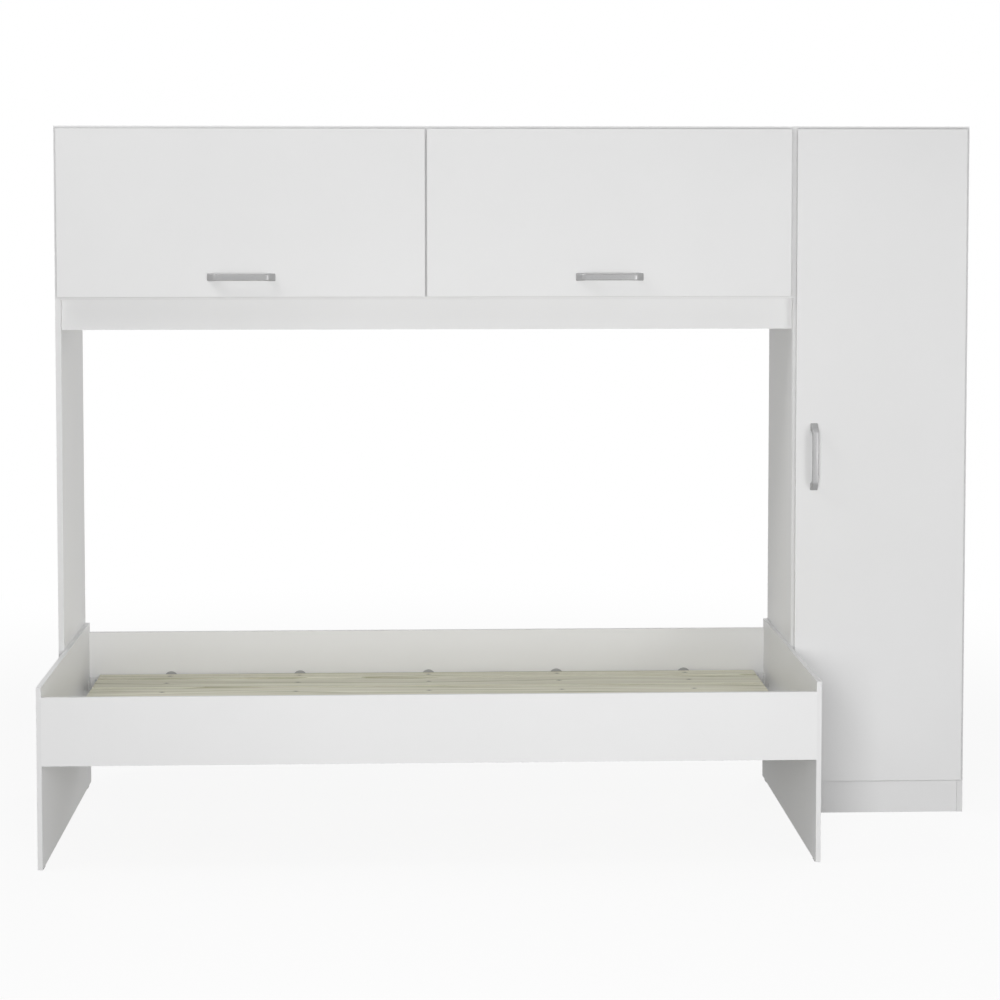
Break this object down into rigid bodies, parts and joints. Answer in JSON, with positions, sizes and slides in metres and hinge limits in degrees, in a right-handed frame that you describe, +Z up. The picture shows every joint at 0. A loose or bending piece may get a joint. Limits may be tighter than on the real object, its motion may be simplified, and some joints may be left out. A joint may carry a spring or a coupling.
{
  "type": "single bed with bridge cabinet and wardrobe",
  "caption": "Single bed box with a plank deck, an overhead bridge cabinet with lift-up flaps and a tall side wardrobe with a hinged door.",
  "frame": {"origin": "on the floor, at the middle of the whole unit's width and depth", "axes": "+X to the right as seen from the foot of the room, toward the wardrobe, +Y back to the wall, +Z up"},
  "size_m": [2.405, 0.914, 1.832],
  "materials": {
    "white_board": "satin melamine-faced board",
    "back_panel": "painted hardboard",
    "pine": "planed softwood",
    "handle_metal": "satin",
    "nickel_steel": "nickel plated",
    "zinc_steel": "zinc plated",
    "grey_bracket": "satin",
    "white_bracket": "satin",
    "strut_body": "satin",
    "strut_chrome": "polished",
    "strut_steel": "zinc plated",
    "rail_chrome": "polished",
    "socket_metal": "polished",
    "glide_plastic": "matte"
  },
  "bodies": {
    "frame": {"bed_corner_brackets": "white_bracket", "bed_end_left": "white_board", "bed_end_right": "white_board", "bed_glides": "glide_plastic", "bed_rail_front": "white_board", "bed_rail_rear": "white_board", "bed_screws": "zinc_steel", "bridge_back_left": "back_panel", "bridge_back_right": "back_panel", "bridge_bottom": "white_board", "bridge_divider": "white_board", "bridge_screws": "zinc_steel", "bridge_side_left": "white_board", "bridge_side_right": "white_board", "bridge_top": "white_board", "bridge_valance": "white_board", "cross_battens": "pine", "deck_nails": "zinc_steel", "deck_plank_1": "pine", "deck_plank_2": "pine", "deck_plank_3": "pine", "deck_plank_4": "pine", "deck_plank_5": "pine", "deck_plank_6": "pine", "deck_plank_7": "pine", "deck_plank_8": "pine", "flap_hinge_arms": "nickel_steel", "hanging_rail": "rail_chrome", "joining_bolts": "zinc_steel", "rail_sockets": "socket_metal", "slat_brackets": "grey_bracket", "strut_cabinet_studs": "strut_steel", "wardrobe_back": "back_panel", "wardrobe_bottom": "white_board", "wardrobe_hinge_arms": "nickel_steel", "wardrobe_plinth": "white_board", "wardrobe_screws": "zinc_steel", "wardrobe_shelf": "white_board", "wardrobe_side_left": "white_board", "wardrobe_side_right": "white_board", "wardrobe_top": "white_board"},
    "left_flap": {"flap_door_left": "white_board", "flap_handle_left": "handle_metal", "flap_cups_left": "nickel_steel", "flap_screws_left": "zinc_steel", "strut_door_stud_left": "strut_steel"},
    "right_flap": {"flap_door_right": "white_board", "flap_handle_right": "handle_metal", "flap_cups_right": "nickel_steel", "flap_screws_right": "zinc_steel", "strut_door_stud_right": "strut_steel"},
    "left_strut": {"strut_barrel_left": "strut_body"},
    "left_strut_rod": {"strut_rod_left": "strut_chrome"},
    "right_strut": {"strut_barrel_right": "strut_body"},
    "right_strut_rod": {"strut_rod_right": "strut_chrome"},
    "wardrobe_leaf": {"wardrobe_door": "white_board", "wardrobe_handle": "handle_metal", "wardrobe_cups": "nickel_steel", "wardrobe_door_screws": "zinc_steel"}
  },
  "joints": [
    {"name": "left_flap_lift", "type": "hinge", "parent": "frame", "child": "left_flap", "pos_m": [-0.7155, 0.035, 1.825], "axis": [-1, 0, 0], "range_deg": [0, 90]},
    {"name": "left_strut_swing", "type": "hinge", "parent": "frame", "child": "left_strut", "pos_m": [-1.1725, 0.202, 1.67], "axis": [-1, 0, 0], "range_deg": [0, 0.715]},
    {"name": "left_strut_slide", "type": "slide", "parent": "left_strut", "child": "left_strut_rod", "axis": [0, -0.8526, 0.5226], "range_m": [0, 0.08654]},
    {"name": "right_flap_lift", "type": "hinge", "parent": "frame", "child": "right_flap", "pos_m": [0.2495, 0.035, 1.825], "axis": [-1, 0, 0], "range_deg": [0, 90]},
    {"name": "right_strut_swing", "type": "hinge", "parent": "frame", "child": "right_strut", "pos_m": [0.7065, 0.202, 1.67], "axis": [-1, 0, 0], "range_deg": [0, 0.715]},
    {"name": "right_strut_slide", "type": "slide", "parent": "right_strut", "child": "right_strut_rod", "axis": [0, -0.8526, 0.5226], "range_m": [0, 0.08654]},
    {"name": "wardrobe_door_swing", "type": "hinge", "parent": "frame", "child": "wardrobe_leaf", "pos_m": [1.1945, 0.035, 0.96], "axis": [0, 0, 1], "range_deg": [0, 95]}
  ],
  "couplings": [
    {"joint": "left_strut_swing", "follows": "left_flap_lift", "ratio": 0.0078317},
    {"joint": "left_strut_slide", "follows": "left_flap_lift", "m_per_rad": 0.055062},
    {"joint": "right_strut_swing", "follows": "right_flap_lift", "ratio": 0.0078317},
    {"joint": "right_strut_slide", "follows": "right_flap_lift", "m_per_rad": 0.055062}
  ]
}
